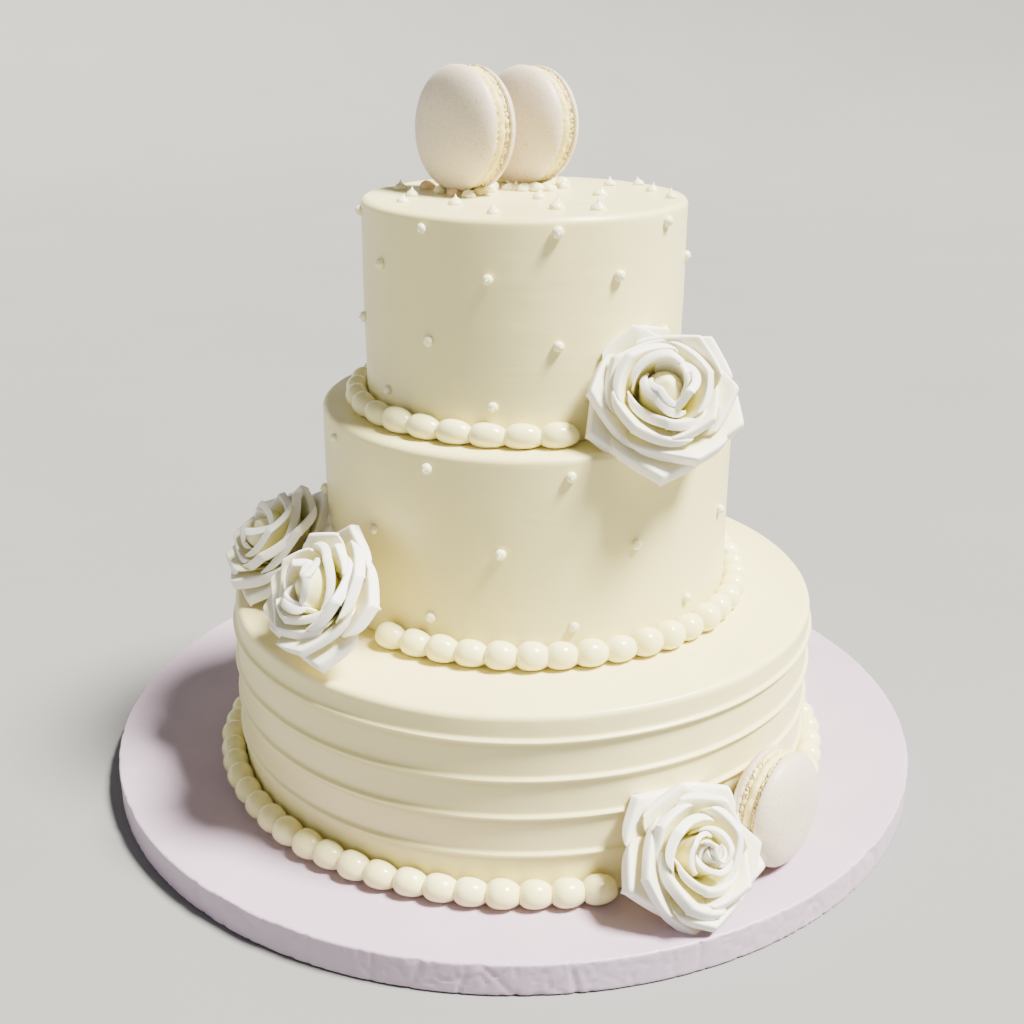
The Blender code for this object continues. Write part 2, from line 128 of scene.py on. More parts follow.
# Creases of the board's wrap: how fine, how narrow and how deep
WRAP_FOLD = (9.0, 0.08, 0.45 * MM)
WRAP_PLEAT = (34.0, 0.07, 0.35 * MM)
WRAP_GRAIN = (60.0, 0.10 * MM)
WRAP_SINK = 0.06 * MM

# Combed ridges on the bottom tier's side, each over a shallow groove measured in ridge widths
RIDGE_HEIGHTS = (31.9 * MM, 47.8 * MM, 63.4 * MM, 78.9 * MM)
RIDGE_PROUD = 1.55 * MM
RIDGE_WIDTH = 0.72 * MM
GROOVE_DEPTH = 0.35 * MM
GROOVE_BELOW = 2.4
GROOVE_WIDTH = 1.3

# Piped dots: height of each row and the angle of its first dot
DOT_RADIUS = 2.0 * MM
DOT_HEIGHT = 3.1 * MM
TOP_DOTS_PER_ROW = 8
TOP_DOT_ROWS = ((183.0 * MM, -146.0), (205.5 * MM, -124.5), (229.7 * MM, -147.5), (245.6 * MM, -125.5))
MIDDLE_DOTS_PER_ROW = 10
MIDDLE_DOT_ROWS = ((103.7 * MM, -115.5), (133.2 * MM, -133.5), (162.6 * MM, -117.0))
DROP_SEGMENTS = 16
TOPPING_SINK = 0.2 * MM
TIP_RADIUS = 0.02 * MM

# Kisses on the top surface: distance from the tier's axis in mm and angle
KISS_RADIUS = 2.6 * MM
KISS_HEIGHT = 4.3 * MM
KISS_TIP_RADIUS = 0.03 * MM
KISSES = (
    (51.4, 162), (43.3, -174), (50.1, -155), (36.8, -134), (50.6, -103), (11.9, -62),
    (40.7, -74), (15.6, 100), (29.3, -2), (49.1, -58), (46.2, 40), (57.0, 34),
    (51.8, 12), (56.8, -10), (55.0, 98), (56.0, 126), (44.0, 75),
)

# Blobs of icing at the macarons' feet: distance from the tier's axis, angle, radius and how long they are
BLOBS = (
    (33.0, 172, 2.5, 1.5), (22.7, -161, 2.7, 1.0), (17.0, 179, 2.8, 1.1), (15.7, 148, 2.9, 1.0),
    (19.5, 130, 2.9, 1.0), (17.0, 108, 2.6, 1.3), (12.3, 90, 2.6, 1.2), (12.3, 66, 2.6, 1.4),
    (16.0, 50, 2.7, 1.0), (26.0, 52, 2.6, 1.2), (34.0, 62, 2.7, 1.0), (44.5, 118, 2.8, 1.2),
    (40.5, 104, 2.8, 1.1),
)
PEACH_BLOBS = ((41.8, 157, 3.0, 1.3), (27.0, -177, 2.5, 1.8))
BLOB_SEGMENTS = 20

# Bead borders: bead radius, pitch, and the first and last angle of each string
BEAD_ROWS = (
    ("border_bottom", BOTTOM_AXIS, BOTTOM_RADIUS, BOARD_TOP, 5.5 * MM, 11.8 * MM, -33.0, 285.0),
    ("border_middle", MIDDLE_AXIS, MIDDLE_RADIUS, BOTTOM_TOP, 5.4 * MM, 11.6 * MM, -130.0, 172.0),
    ("border_top", TOP_AXIS, TOP_RADIUS, MIDDLE_TOP, 4.8 * MM, 13.0 * MM, -32.0, 286.0),
)
BEAD_RINGS = 15
BEAD_SEGMENTS = 18
BEAD_TAIL = 0.72
BEAD_HEAD = 0.52
BEAD_SINK = 0.4 * MM

# Macarons: node prefix, azimuth and elevation of the front shell, and radius
MACARONS = (
    ("macaron_front", -138.0, 3.0, 23.4 * MM),
    ("macaron_behind", -136.0, 3.0, 22.8 * MM),
    ("macaron_lower", -41.0, 4.0, 22.2 * MM),
)
MACARON_DOME = 7.3 * MM
MACARON_FOOT = 2.3 * MM
MACARON_FILLING = 2.6 * MM
SHELL_GAP = 0.3 * MM
SHELL_INSET = 1.5 * MM
SHELL_SEGMENTS = 360
FOOT_ROWS = 11
DOME_ROWS = 24
FILLING_ROWS = 9
FILLING_SEGMENTS = 144
FILLING_TUCK = 0.25 * MM
DEEPEST_PIT = 1.6 * MM
TOP_CLEARANCE = 0.05 * MM

# Whorls of petals: count, first turn, lean, curl, base, root, length, half width, drop of the folded edge
# from its tip, lip width, lip turn, cup and strength of the painted glow in its folds. Lengths in mm, angles
# in degrees.
BUD_CLOSED = (
    (2, 25.0, 8.0, -34.0, 5.0, 3.0, 21.5, 9.0, 32.0, 2.4, 150.0, 1.0, 0.5),
    (3, 85.0, 2.0, -24.0, 4.0, 7.0, 22.0, 12.5, 27.0, 3.2, 135.0, 1.15, 0.9),
)
BUD_SPIRAL = (
    (2, 0.0, -4.0, -8.0, 6.0, 2.0, 19.5, 4.4, 12.0, 1.0, 70.0, 1.0, 0.5),
    (2, 60.0, -4.0, -12.0, 5.5, 4.4, 19.0, 8.5, 10.0, 1.3, 80.0, 1.0, 0.7),
    (3, 130.0, 4.0, -12.0, 5.0, 6.6, 19.0, 10.5, 14.0, 1.9, 105.0, 1.05, 0.9),
)
OPEN_WHORLS = (
    (3, 0.0, 20.0, 2.0, 3.5, 8.0, 20.0, 15.5, 25.0, 3.6, 118.0, 1.6, 1.0),
    (4, 40.0, 37.0, 4.0, 2.5, 7.0, 22.0, 16.5, 27.0, 4.2, 118.0, 2.0, 0.9),
    (4, 83.0, 54.0, 5.0, 1.2, 6.5, 24.0, 17.5, 29.0, 4.4, 112.0, 2.6, 0.75),
    (5, 110.0, 70.0, 3.0, 0.0, 6.0, 25.0, 17.5, 33.0, 4.4, 96.0, 3.4, 0.6),
)
PETAL_SPIRAL = 1.6
PETAL_THICKNESS = 0.75 * MM
PETAL_SIDE_COLUMNS = 12
PETAL_BODY_ROWS = 12
PETAL_ROOT_SPREAD = 1.2
PETAL_SHOULDER = 1.7
PETAL_TIP_ROUND = 0.3
# Painted fold glow laid over the whole hidden core of each rose
CORE_PAINTED_GLOW = 0.55
CORE_SEGMENTS = 24
ROSE_CORE = (
    (1.0, -1.5), (6.5, 0.0), (8.0, 5.0), (7.8, 12.0), (6.2, 17.0), (3.4, 20.6), (1.4, 22.4), (0.3, 23.2),
)
SHARP_ANGLE = math.radians(42.0)

# Folded lips: the share of the turn made in the firm fold, that fold's part of the width, and the later roll
PETAL_LIP_ROWS = 10
LIP_FINENESS = 4
LIP_FOLD = 0.82
LIP_FOLD_WIDTH = 0.22
LIP_ROLL = 0.18

# Bending of a petal: points along it, the least radius in mm it wraps on, and the most it may wrap
BEND_POINTS = 120
LEAST_WRAP = 3.0
LEAST_UPRIGHT = 0.12
MOST_SWING = 2.4

# Roses: node, centre in mm, azimuth and elevation of the axis, spin about it, size and bud
ROSES = (
    ("rose_upper", (51.5, -79.5, 182.5), -85.0, 38.0, 20.0, 1.0, BUD_CLOSED),
    ("rose_left_back", (-91.5, -34.5, 105.5), -160.0, 46.0, 50.0, 0.96, BUD_CLOSED),
    ("rose_left_front", (-66.5, -94.0, 110.5), -140.0, 38.0, 0.0, 0.92, BUD_CLOSED),
    ("rose_lower", (61.0, -139.0, 29.0), -62.0, 37.0, 35.0, 0.95, BUD_SPIRAL),
)


# Node helpers for the materials

def new_material(name, colour, roughness):
    made = bpy.data.materials.new(name)
    made.use_nodes = True
    nodes = made.node_tree.nodes
    shader = nodes["Principled BSDF"]
    shader.inputs["Base Color"].default_value = (*colour, 1.0)
    shader.inputs["Roughness"].default_value = roughness
    return made, nodes, made.node_tree.links, shader


def add_noise(nodes, links, scale, detail, stretch=(1.0, 1.0, 1.0)):
    """A noise texture's factor on object coordinates, in cells of 1 / scale metres."""
    place = nodes.new("ShaderNodeTexCoord")
    mapping = nodes.new("ShaderNodeMapping")
    mapping.inputs["Scale"].default_value = stretch
    texture = nodes.new("ShaderNodeTexNoise")
    texture.inputs["Scale"].default_value = scale
    texture.inputs["Detail"].default_value = detail
    links.new(place.outputs["Object"], mapping.inputs["Vector"])
    links.new(mapping.outputs["Vector"], texture.inputs["Vector"])
    return texture.outputs["Fac"]


def add_range(nodes, links, source, low, high, to_low, to_high):
    spread = nodes.new("ShaderNodeMapRange")
    spread.inputs["From Min"].default_value = low
    spread.inputs["From Max"].default_value = high
    spread.inputs["To Min"].default_value = to_low
    spread.inputs["To Max"].default_value = to_high
    links.new(source, spread.inputs["Value"])
    return spread.outputs["Result"]


def add_mix(nodes, links, factor, first, second):
    """A colour mix; first and second are colours or sockets."""
    mix = nodes.new("ShaderNodeMix")
    mix.data_type = "RGBA"
    links.new(factor, mix.inputs["Factor"])
    for socket, value in ((mix.inputs[6], first), (mix.inputs[7], second)):
        if isinstance(value, tuple):
            socket.default_value = (*value, 1.0)
        else:
            links.new(value, socket)
    return mix.outputs[2]


def add_bump(nodes, links, shader, height, strength, distance):
    bump = nodes.new("ShaderNodeBump")
    bump.inputs["Strength"].default_value = strength
    bump.inputs["Distance"].default_value = distance
    links.new(height, bump.inputs["Height"])
    links.new(bump.outputs["Normal"], shader.inputs["Normal"])


def vary_roughness(nodes, links, shader, source, low, high):
    """Roughness that drifts between low and high with a noise factor."""
    links.new(add_range(nodes, links, source, 0.3, 0.7, low, high), shader.inputs["Roughness"])


def soften(shader, weight, radius, scale):
    """Light that goes a little way in, as in icing and sugar paste."""
    shader.inputs["Subsurface Weight"].default_value = weight
    shader.inputs["Subsurface Radius"].default_value = radius
    shader.inputs["Subsurface Scale"].default_value = scale


def icing_material():
    made, nodes, links, shader = new_material("icing", (0.85, 0.76, 0.38), 0.36)
    broad = add_noise(nodes, links, scale=9.0, detail=2.0)
    tint = add_range(nodes, links, broad, 0.35, 0.65, 0.0, 1.0)
    links.new(add_mix(nodes, links, tint, *ICING_COLOURS), shader.inputs["Base Color"])
    smooth = add_noise(nodes, links, scale=55.0, detail=3.0, stretch=(1.0, 1.0, 3.0))
    vary_roughness(nodes, links, shader, smooth, 0.30, 0.44)
    streaks = add_noise(nodes, links, scale=90.0, detail=6.0, stretch=(0.45, 0.45, 2.5))
    add_bump(nodes, links, shader, streaks, strength=0.16, distance=0.8 * MM)
    soften(shader, weight=0.15, radius=(0.90, 0.85, 0.40), scale=4.0 * MM)
    shader.inputs["Specular IOR Level"].default_value = 0.45
    return made


def bead_material(name, colours):
    """Piped icing with a soft gloss, between two colours."""
    made, nodes, links, shader = new_material(name, colours[0], 0.22)
    broad = add_noise(nodes, links, scale=60.0, detail=2.0)
    tint = add_range(nodes, links, broad, 0.35, 0.65, 0.0, 1.0)
    links.new(add_mix(nodes, links, tint, *colours), shader.inputs["Base Color"])
    vary_roughness(nodes, links, shader, broad, 0.18, 0.28)
    fine = add_noise(nodes, links, scale=300.0, detail=3.0)
    add_bump(nodes, links, shader, fine, strength=0.08, distance=0.3 * MM)
    soften(shader, weight=0.25, radius=(0.92, 0.88, 0.42), scale=3.0 * MM)
    return made


def rose_material():
    """White at the lips, with a painted yellow glow of bounced light down in the shaded folds, set by the
    petal's own attribute for it.
    """
    made, nodes, links, shader = new_material("rose_paste", (0.93, 0.88, 0.84), 0.5)
    folds = nodes.new("ShaderNodeAttribute")
    folds.attribute_name = "cream_and_painted_glow"
    broad = add_noise(nodes, links, scale=120.0, detail=3.0)
    white = add_mix(nodes, links, broad, *ROSE_WHITES)
    links.new(add_mix(nodes, links, folds.outputs["Fac"], white, ROSE_PAINTED_GLOW), shader.inputs["Base Color"])
    vary_roughness(nodes, links, shader, broad, 0.46, 0.60)
    fine = add_noise(nodes, links, scale=900.0, detail=3.0)
    add_bump(nodes, links, shader, fine, strength=0.12, distance=0.3 * MM)
    soften(shader, weight=0.25, radius=(0.95, 0.90, 0.42), scale=2.5 * MM)
    return made


def shell_material():
    """Pale almond shell with fine brown specks and small pits."""
    made, nodes, links, shader = new_material("macaron_shell", (0.81, 0.65, 0.50), 0.42)
    broad = add_noise(nodes, links, scale=70.0, detail=3.0)
    base = add_mix(nodes, links, broad, *SHELL_COLOURS)
    grains = add_noise(nodes, links, scale=1500.0, detail=2.0)
    grain_mask = add_range(nodes, links, grains, 0.50, 0.66, 0.0, 0.55)
    grained = add_mix(nodes, links, grain_mask, base, SHELL_GRAIN)
    place = nodes.new("ShaderNodeTexCoord")
    cells = nodes.new("ShaderNodeTexVoronoi")
    cells.inputs["Scale"].default_value = 620.0
    links.new(place.outputs["Object"], cells.inputs["Vector"])
    speck = add_range(nodes, links, cells.outputs["Distance"], 0.12, 0.22, 0.8, 0.0)
    thin = add_noise(nodes, links, scale=420.0, detail=1.0)
    chosen = add_range(nodes, links, thin, 0.54, 0.60, 0.0, 1.0)
    both = nodes.new("ShaderNodeMath")
    both.operation = "MULTIPLY"
    links.new(speck, both.inputs[0])
    links.new(chosen, both.inputs[1])
    speckled = add_mix(nodes, links, both.outputs["Value"], grained, SHELL_SPECK)
    links.new(speckled, shader.inputs["Base Color"])
    vary_roughness(nodes, links, shader, grains, 0.36, 0.52)
    add_bump(nodes, links, shader, grains, strength=0.30, distance=0.2 * MM)
    soften(shader, weight=0.08, radius=(0.9, 0.8, 0.5), scale=2.0 * MM)
    return made


def foot_material():
    """The rough creamy foot and filling of a macaron."""
    made, nodes, links, shader = new_material("macaron_cream", (0.84, 0.72, 0.42), 0.6)
    rough = add_noise(nodes, links, scale=500.0, detail=4.0)
    links.new(add_mix(nodes, links, rough, *FOOT_COLOURS), shader.inputs["Base Color"])
    vary_roughness(nodes, links, shader, rough, 0.5, 0.7)
    add_bump(nodes, links, shader, rough, strength=0.8, distance=0.8 * MM)
    soften(shader, weight=0.15, radius=(1.0, 0.8, 0.4), scale=2.0 * MM)
    return made


def peach_material():
    made, nodes, links, shader = new_material("peach_icing", (0.86, 0.66, 0.46), 0.4)
    broad = add_noise(nodes, links, scale=200.0, detail=2.0)
    links.new(add_mix(nodes, links, broad, *PEACH_COLOURS), shader.inputs["Base Color"])
    soften(shader, weight=0.2, radius=(1.0, 0.7, 0.4), scale=2.0 * MM)
    return made


def board_material():
    """Pale lilac-grey wrap paper, a little mottled, with fine embossing and a few specks."""
    made, nodes, links, shader = new_material("board_wrap", (0.50, 0.39, 0.49), 0.42)
    broad = add_noise(nodes, links, scale=26.0, detail=8.0)
    base = add_mix(nodes, links, broad, *BOARD_COLOURS)
    fine = add_noise(nodes, links, scale=260.0, detail=4.0)
    mask = add_range(nodes, links, fine, 0.62, 0.74, 0.0, 0.35)
    links.new(add_mix(nodes, links, mask, base, BOARD_FLECK), shader.inputs["Base Color"])
    vary_roughness(nodes, links, shader, broad, 0.34, 0.50)
    embossing = add_noise(nodes, links, scale=420.0, detail=2.0)
    add_bump(nodes, links, shader, embossing, strength=0.16, distance=0.3 * MM)
    return made


def floor_material():
    made, nodes, links, shader = new_material("floor", (0.21, 0.21, 0.22), 0.7)
    broad = add_noise(nodes, links, scale=6.0, detail=3.0)
    links.new(add_mix(nodes, links, broad, *FLOOR_COLOURS), shader.inputs["Base Color"])
    return made


# Mesh helpers

def add_object(name, points, faces, finish):
    mesh = bpy.data.meshes.new(name)
    mesh.from_pydata([tuple(point) for point in points], [], [tuple(face) for face in faces])
    mesh.materials.append(finish)
    mesh.shade_smooth()
    item = bpy.data.objects.new(name, mesh)
    bpy.context.scene.collection.objects.link(item)
    return item


def keep(item, slot, *nodes):
    """Rides the piece on the root body, in place of the CAD nodes. The slot is not used."""
    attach(item, "root")
    if nodes:
        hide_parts(*nodes)
    return item


class Shape:
    """Points and faces gathered from several forms into one mesh."""

    def __init__(self):
        self.points = []
        self.faces = []
        # Per point strength of the painted glow in a rose's folds
        self.cream_and_painted_glow = []

    def add(self, points, faces, cream_and_painted_glow=None):
        start = len(self.points)
        self.points.extend(tuple(point) for point in points)
        self.faces.extend(tuple(start + corner for corner in face) for face in faces)
        self.cream_and_painted_glow.extend(cream_and_painted_glow if cream_and_painted_glow is not None else [0.0] * len(points))

    def build(self, name, finish, with_painted_glow=False):
        item = add_object(name, self.points, self.faces, finish)
        if with_painted_glow:
            # The painted fold glow goes to the material as a point attribute
            layer = item.data.attributes.new("cream_and_painted_glow", "FLOAT", "POINT")
            layer.data.foreach_set("value", np.array(self.cream_and_painted_glow, dtype=np.float32))
        return item


def ring_faces(rings, segments):
    """Quads between stacked rings of points."""
    faces = []
    for ring in range(rings - 1):
        for step in range(segments):
            after = (step + 1) % segments
            low = ring * segments
            high = low + segments
            faces.append((low + step, low + after, high + after, high + step))
    return faces


def turned(profile, segments, bend=None):
    """A closed form turned round Z from its foot (radius, height) up to its pole. bend moves each point."""
    points = []
    for radius, height in profile:
        for step in range(segments):
            angle = 2.0 * math.pi * step / segments
            point = Vector((radius * math.cos(angle), radius * math.sin(angle), height))
            if bend is not None:
                point = bend(point, angle, radius)
            points.append(point)
    faces = ring_faces(len(profile), segments)
    faces.append(tuple(range(segments - 1, -1, -1)))
    last = (len(profile) - 1) * segments
    faces.append(tuple(range(last, last + segments)))
    return points, faces


def heading(azimuth, elevation):
    turn = math.radians(azimuth)
    rise = math.radians(elevation)
    flat = math.cos(rise)
    return Vector((flat * math.cos(turn), flat * math.sin(turn), math.sin(rise)))


def turn_to(direction):
    return Vector((0.0, 0.0, 1.0)).rotation_difference(Vector(direction)).to_matrix()


def placed(points, rotation, origin):
    return [rotation @ Vector(point) + Vector(origin) for point in points]


def wobble(point, scale, amount, shift=0.0):
    """A smooth uneven offset for a point, within about the amount either way."""
    return amount * noise.noise(Vector(point) * scale + Vector((shift, shift, shift)))


def round_noise(angle, fineness, height):
    """Smooth noise round a turned form, for an angle and a height."""
    return noise.noise(Vector((math.cos(angle) * fineness, math.sin(angle) * fineness, height)))


# Tiers

def tier_profile(radius, base, top, ridges):
    """The side of a tier with its ridges, its rounded rim and its top, as (radius, height)."""
    profile = []
    steps = RIDGED_ROWS if ridges else PLAIN_ROWS
    for step in range(steps + 1):
        height = base + (top - RIM_ROUND - base) * step / steps
        swell = 0.0
        for ridge in ridges:
            away = (height - ridge) / RIDGE_WIDTH
            groove = GROOVE_DEPTH * math.exp(-((away + GROOVE_BELOW) / GROOVE_WIDTH) ** 2)
            swell += RIDGE_PROUD * math.exp(-(away ** 2)) - groove
        profile.append((radius + swell, height))
    for step in range(1, RIM_ROWS + 1):
        angle = math.radians(90.0 * step / RIM_ROWS)
        profile.append((radius - RIM_ROUND * (1 - math.cos(angle)), top - RIM_ROUND * (1 - math.sin(angle))))
    inner = radius - RIM_ROUND
    for step in range(1, TOP_RINGS + 1):
        profile.append((inner * (1.0 - step / (TOP_RINGS + 0.5)), top))
    return profile


def tier(name, axis, radius, base, top, ridges, finish, seed):
    def uneven(point, angle, distance):
        if distance > radius - RIM_ROUND * 0.5:
            outward = Vector((math.cos(angle), math.sin(angle), 0.0))
            return point + outward * (wobble(point, *WALL_WAVES, seed) + wobble(point, *WALL_GRAIN, seed))
        lift = wobble(point, *TOP_WAVES, seed + 3.0) + wobble(point, *TOP_GRAIN, seed)
        return point + Vector((0.0, 0.0, lift))

    points, faces = turned(tier_profile(radius, base + FOOT_LIFT, top, ridges), TIER_SEGMENTS, uneven)
    points = [point + Vector((axis[0], axis[1], 0.0)) for point in points]
    return keep(add_object(name, points, faces, finish), "icing", name.replace("_icing", ""))


# Dots, kisses and blobs

def drop(shape, origin, direction, profile, draw):
    """A piped drop, from its profile of (radius, height), whose tip leans a little to one side."""
    rotation = turn_to(direction)
    lean = draw.uniform(0.0, 2.0 * math.pi)
    height = profile[-1][1]
    reach = draw.uniform(0.3, 1.1) * MM

    def bend(point, angle, distance):
        drift = reach * max(0.0, point.z / height - 0.4) ** 1.5
        swell = 1.0 + 0.12 * round_noise(angle, 2, lean * 3)
        return Vector((point.x * swell + drift * math.cos(lean), point.y * swell + drift * math.sin(lean),
                       point.z))

    points, faces = turned(profile, DROP_SEGMENTS, bend)
    shape.add(placed(points, rotation, origin), faces)


def pearl_profile(radius, height):
    """A round dot with a small nib, from where it meets the wall."""
    profile = []
    round_rows = 8
    for row in range(round_rows + 1):
        angle = math.radians(-30.0 + 112.0 * row / round_rows)
        profile.append((radius * math.cos(angle), radius * (0.45 + 0.80 * math.sin(angle))))
    nib = radius * 1.24
    nib_rows = 3
    for row in range(1, nib_rows + 1):
        part = row / nib_rows
        profile.append((radius * 0.15 * (1.0 - part) + TIP_RADIUS, nib + (height - nib) * part))
    return profile


def kiss_profile(radius, height):
    """A piped kiss: a broad round foot drawn up into a thin tip."""
    profile = []
    rows = 12
    for row in range(rows + 1):
        part = row / rows
        taper = (1.0 - part) ** 1.35 + 0.30 * math.sin(math.pi * min(1.0, part / 0.62))
        profile.append((radius * taper + KISS_TIP_RADIUS, height * part))
    return profile


def wall_dots(name, axis, radius, rows, count, finish, node, seed):
    draw = random.Random(seed)
    shape = Shape()
    for height, first in rows:
        for step in range(count):
            angle = math.radians(first + 360.0 * step / count + draw.uniform(-1.0, 1.0))
            out = Vector((math.cos(angle), math.sin(angle), 0.0))
            size = draw.uniform(0.93, 1.10)
            rise = draw.uniform(-0.6, 0.6) * MM
            origin = Vector((axis[0], axis[1], height + rise)) + out * (radius - TOPPING_SINK)
            tip = (out + Vector((0.0, 0.0, draw.uniform(-0.25, 0.05)))).normalized()
            drop(shape, origin, tip, pearl_profile(DOT_RADIUS * size, DOT_HEIGHT * size), draw)
    return keep(shape.build(name, finish), "icing", node)


def lump(shape, origin, radius, long, draw):
    """An uneven lump of piped icing, long across its heading, with a soft peak to one side."""
    seed = draw.uniform(0.0, 50.0)
    turn = math.atan2(origin.y - TOP_AXIS[1], origin.x - TOP_AXIS[0]) + draw.uniform(0.9, 2.2)
    way = Vector((math.cos(turn), math.sin(turn), 0.0))
    high = draw.uniform(1.15, 1.6)

    def bend(point, angle, distance):
        where = Vector((math.cos(angle), math.sin(angle), seed + point.z / radius)) * 1.4
        swell = 1.0 + 0.35 * noise.noise(where)
        flat = Vector((point.x * swell, point.y * swell, 0.0))
        flat += way * flat.dot(way) * (long - 1.0)
        peak = 0.35 * radius * max(0.0, point.z / (radius * high) - 0.5) * math.sin(seed)
        return Vector((flat.x + peak, flat.y + peak, point.z * (1.0 + 0.10 * math.sin(seed + 2.0 * angle))))

    profile = []
    rows = 10
    for row in range(rows + 1):
        part = row / rows
        angle = math.radians(-30.0 + 118.0 * part)
        profile.append((radius * math.cos(angle) * (1.0 - 0.12 * part) + TIP_RADIUS,
                        radius * high * (0.28 + 0.56 * math.sin(angle))))
    points, faces = turned(profile, BLOB_SEGMENTS, bend)
    shape.add([Vector(point) + origin for point in points], faces)


def on_top(distance, angle):
    """A place on the top tier's top, from its distance to the axis in mm and its angle in degrees."""
    turn = math.radians(angle)
    return Vector((TOP_AXIS[0] + distance * MM * math.cos(turn), TOP_AXIS[1] + distance * MM * math.sin(turn),
                   TOP_TOP - TOPPING_SINK))


def top_toppings(finish, peach):
    draw = random.Random(11)
    shape = Shape()
    for distance, angle in KISSES:
        size = draw.uniform(0.88, 1.12)
        upward = (Vector((draw.uniform(-0.15, 0.15), draw.uniform(-0.15, 0.15), 1.0))).normalized()
        profile = kiss_profile(KISS_RADIUS * size, KISS_HEIGHT * size * draw.uniform(0.9, 1.1))
        drop(shape, on_top(distance, angle), upward, profile, draw)
    for distance, angle, radius, long in BLOBS:
        lump(shape, on_top(distance, angle), radius * MM, long, draw)
    pale = Shape()
    for distance, angle, radius, long in PEACH_BLOBS:
        lump(pale, on_top(distance, angle), radius * MM, long, draw)
    keep(shape.build("top_kisses", finish), "icing", "top_tier")
    keep(pale.build("peach_kisses", peach), "icing", "top_tier")


# Bead borders

def bead_border(name, axis, wall, floor, bead, pitch, first, last, finish, seed):
    """A string of teardrop beads, each one's tail tucked under the next."""
    draw = random.Random(seed)
    shape = Shape()
    turn = math.radians(last - first)
    ring = wall + bead
    count = round(turn * ring / pitch)
    length = turn * ring / count
    for number in range(count):
        size = bead * draw.uniform(0.95, 1.03)
        middle = math.radians(first) + turn * (number + 0.42 + draw.uniform(-0.03, 0.03)) / count
        points = []
        for row in range(BEAD_RINGS):
            along = -1.0 + 2.0 * row / (BEAD_RINGS - 1)
            bulb = math.sqrt(max(0.0, 1.0 - abs(along) ** 2.2))
            if along > 0.0:
                reach = along * length * BEAD_TAIL
                swell = bulb ** 1.15
            else:
                reach = along * length * BEAD_HEAD
                swell = bulb ** 0.9
            radius = max(size * swell, 0.05 * MM)
            drift = (size - radius) * 0.35
            angle = middle + reach / ring
            for step in range(BEAD_SEGMENTS):
                side = 2.0 * math.pi * step / BEAD_SEGMENTS
                outward = wall + size - drift + radius * math.cos(side)
                height = floor + size - drift + radius * math.sin(side)
                lift = wobble((angle * 3.0, outward * 60.0, height * 60.0), 2.0, 0.25 * MM, number)
                outward = max(outward + lift * math.cos(side), wall - BEAD_SINK)
                height = max(height + lift * math.sin(side), floor + 0.05 * MM)
                points.append((axis[0] + outward * math.cos(angle), axis[1] + outward * math.sin(angle),
                               height))
        faces = ring_faces(BEAD_RINGS, BEAD_SEGMENTS)
        faces.append(tuple(range(BEAD_SEGMENTS - 1, -1, -1)))
        faces.append(tuple(range((BEAD_RINGS - 1) * BEAD_SEGMENTS, BEAD_RINGS * BEAD_SEGMENTS)))
        shape.add(points, faces)
    return keep(shape.build(name + "_beads", finish), "beads", name)


# Macarons

def node_centre(node):
    low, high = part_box(node)
    return (Vector(low) + Vector(high)) / 2


def shell(name, centre, direction, radius, finish, foot_finish, seed):
    """One shell: a smooth dome over a lacy foot full of small pits, its flat side towards the filling."""
    rotation = turn_to(direction)
    profile = []
    for row in range(FOOT_ROWS):
        part = row / (FOOT_ROWS - 1)
        bulge = 0.75 * MM * math.sin(math.pi * part)
        profile.append((radius - SHELL_INSET + bulge, MACARON_FOOT * part * 0.96))
    for row in range(DOME_ROWS):
        angle = math.radians(-14.0 + 103.5 * row / (DOME_ROWS - 1))
        flat = max(0.0, math.cos(angle)) ** 0.80
        height = MACARON_FOOT + MACARON_DOME * max(-0.05, math.sin(angle))
        profile.append((radius * flat + TIP_RADIUS, height))

    def ruffle(point, angle, distance):
        if distance < radius * 0.9 or point.z > MACARON_FOOT * 0.97:
            lift = wobble(point, 60.0, 0.25 * MM, seed)
            return Vector((point.x, point.y, point.z + lift * min(1.0, point.z / MACARON_DOME)))
        where = Vector((math.cos(angle) * 22.0, math.sin(angle) * 22.0, point.z / MM * 1.4 + seed))
        pit = max(0.0, noise.noise(where) - 0.02) * 3.2 * MM
        pit += max(0.0, noise.noise(where * 2.1) - 0.1) * 1.2 * MM
        frill = noise.noise(where * 0.7 + Vector((9.0, 0.0, 0.0))) * 0.6 * MM
        scale = 1.0 + (frill - min(pit, DEEPEST_PIT)) / distance
        return Vector((point.x * scale, point.y * scale, point.z))

    points, faces = turned(profile, SHELL_SEGMENTS, ruffle)
    points = placed(points, rotation, centre)
    for point in points:
        point.z = min(point.z, CAD_BOX[1][2] - TOP_CLEARANCE)
    item = add_object(name, points, faces, finish)
    item.data.materials.append(foot_finish)
    foot_faces = (FOOT_ROWS - 1) * SHELL_SEGMENTS
    for polygon in item.data.polygons:
        if polygon.index < foot_faces:
            polygon.material_index = 1
    return item


def filling(name, centre, direction, radius, finish, seed):
    rotation = turn_to(direction)
    profile = []
    half = MACARON_FILLING / 2 + FILLING_TUCK
    for row in range(FILLING_ROWS):
        part = -1.0 + 2.0 * row / (FILLING_ROWS - 1)
        profile.append((radius - SHELL_INSET + 0.8 * MM * math.cos(part * math.pi / 2), half * part))

    def ooze(point, angle, distance):
        scale = 1.0 + 0.6 * MM * round_noise(angle, 6, seed) / distance
        return Vector((point.x * scale, point.y * scale, point.z))

    points, faces = turned(profile, FILLING_SEGMENTS, ooze)
    return add_object(name, placed(points, rotation, centre), faces, finish)


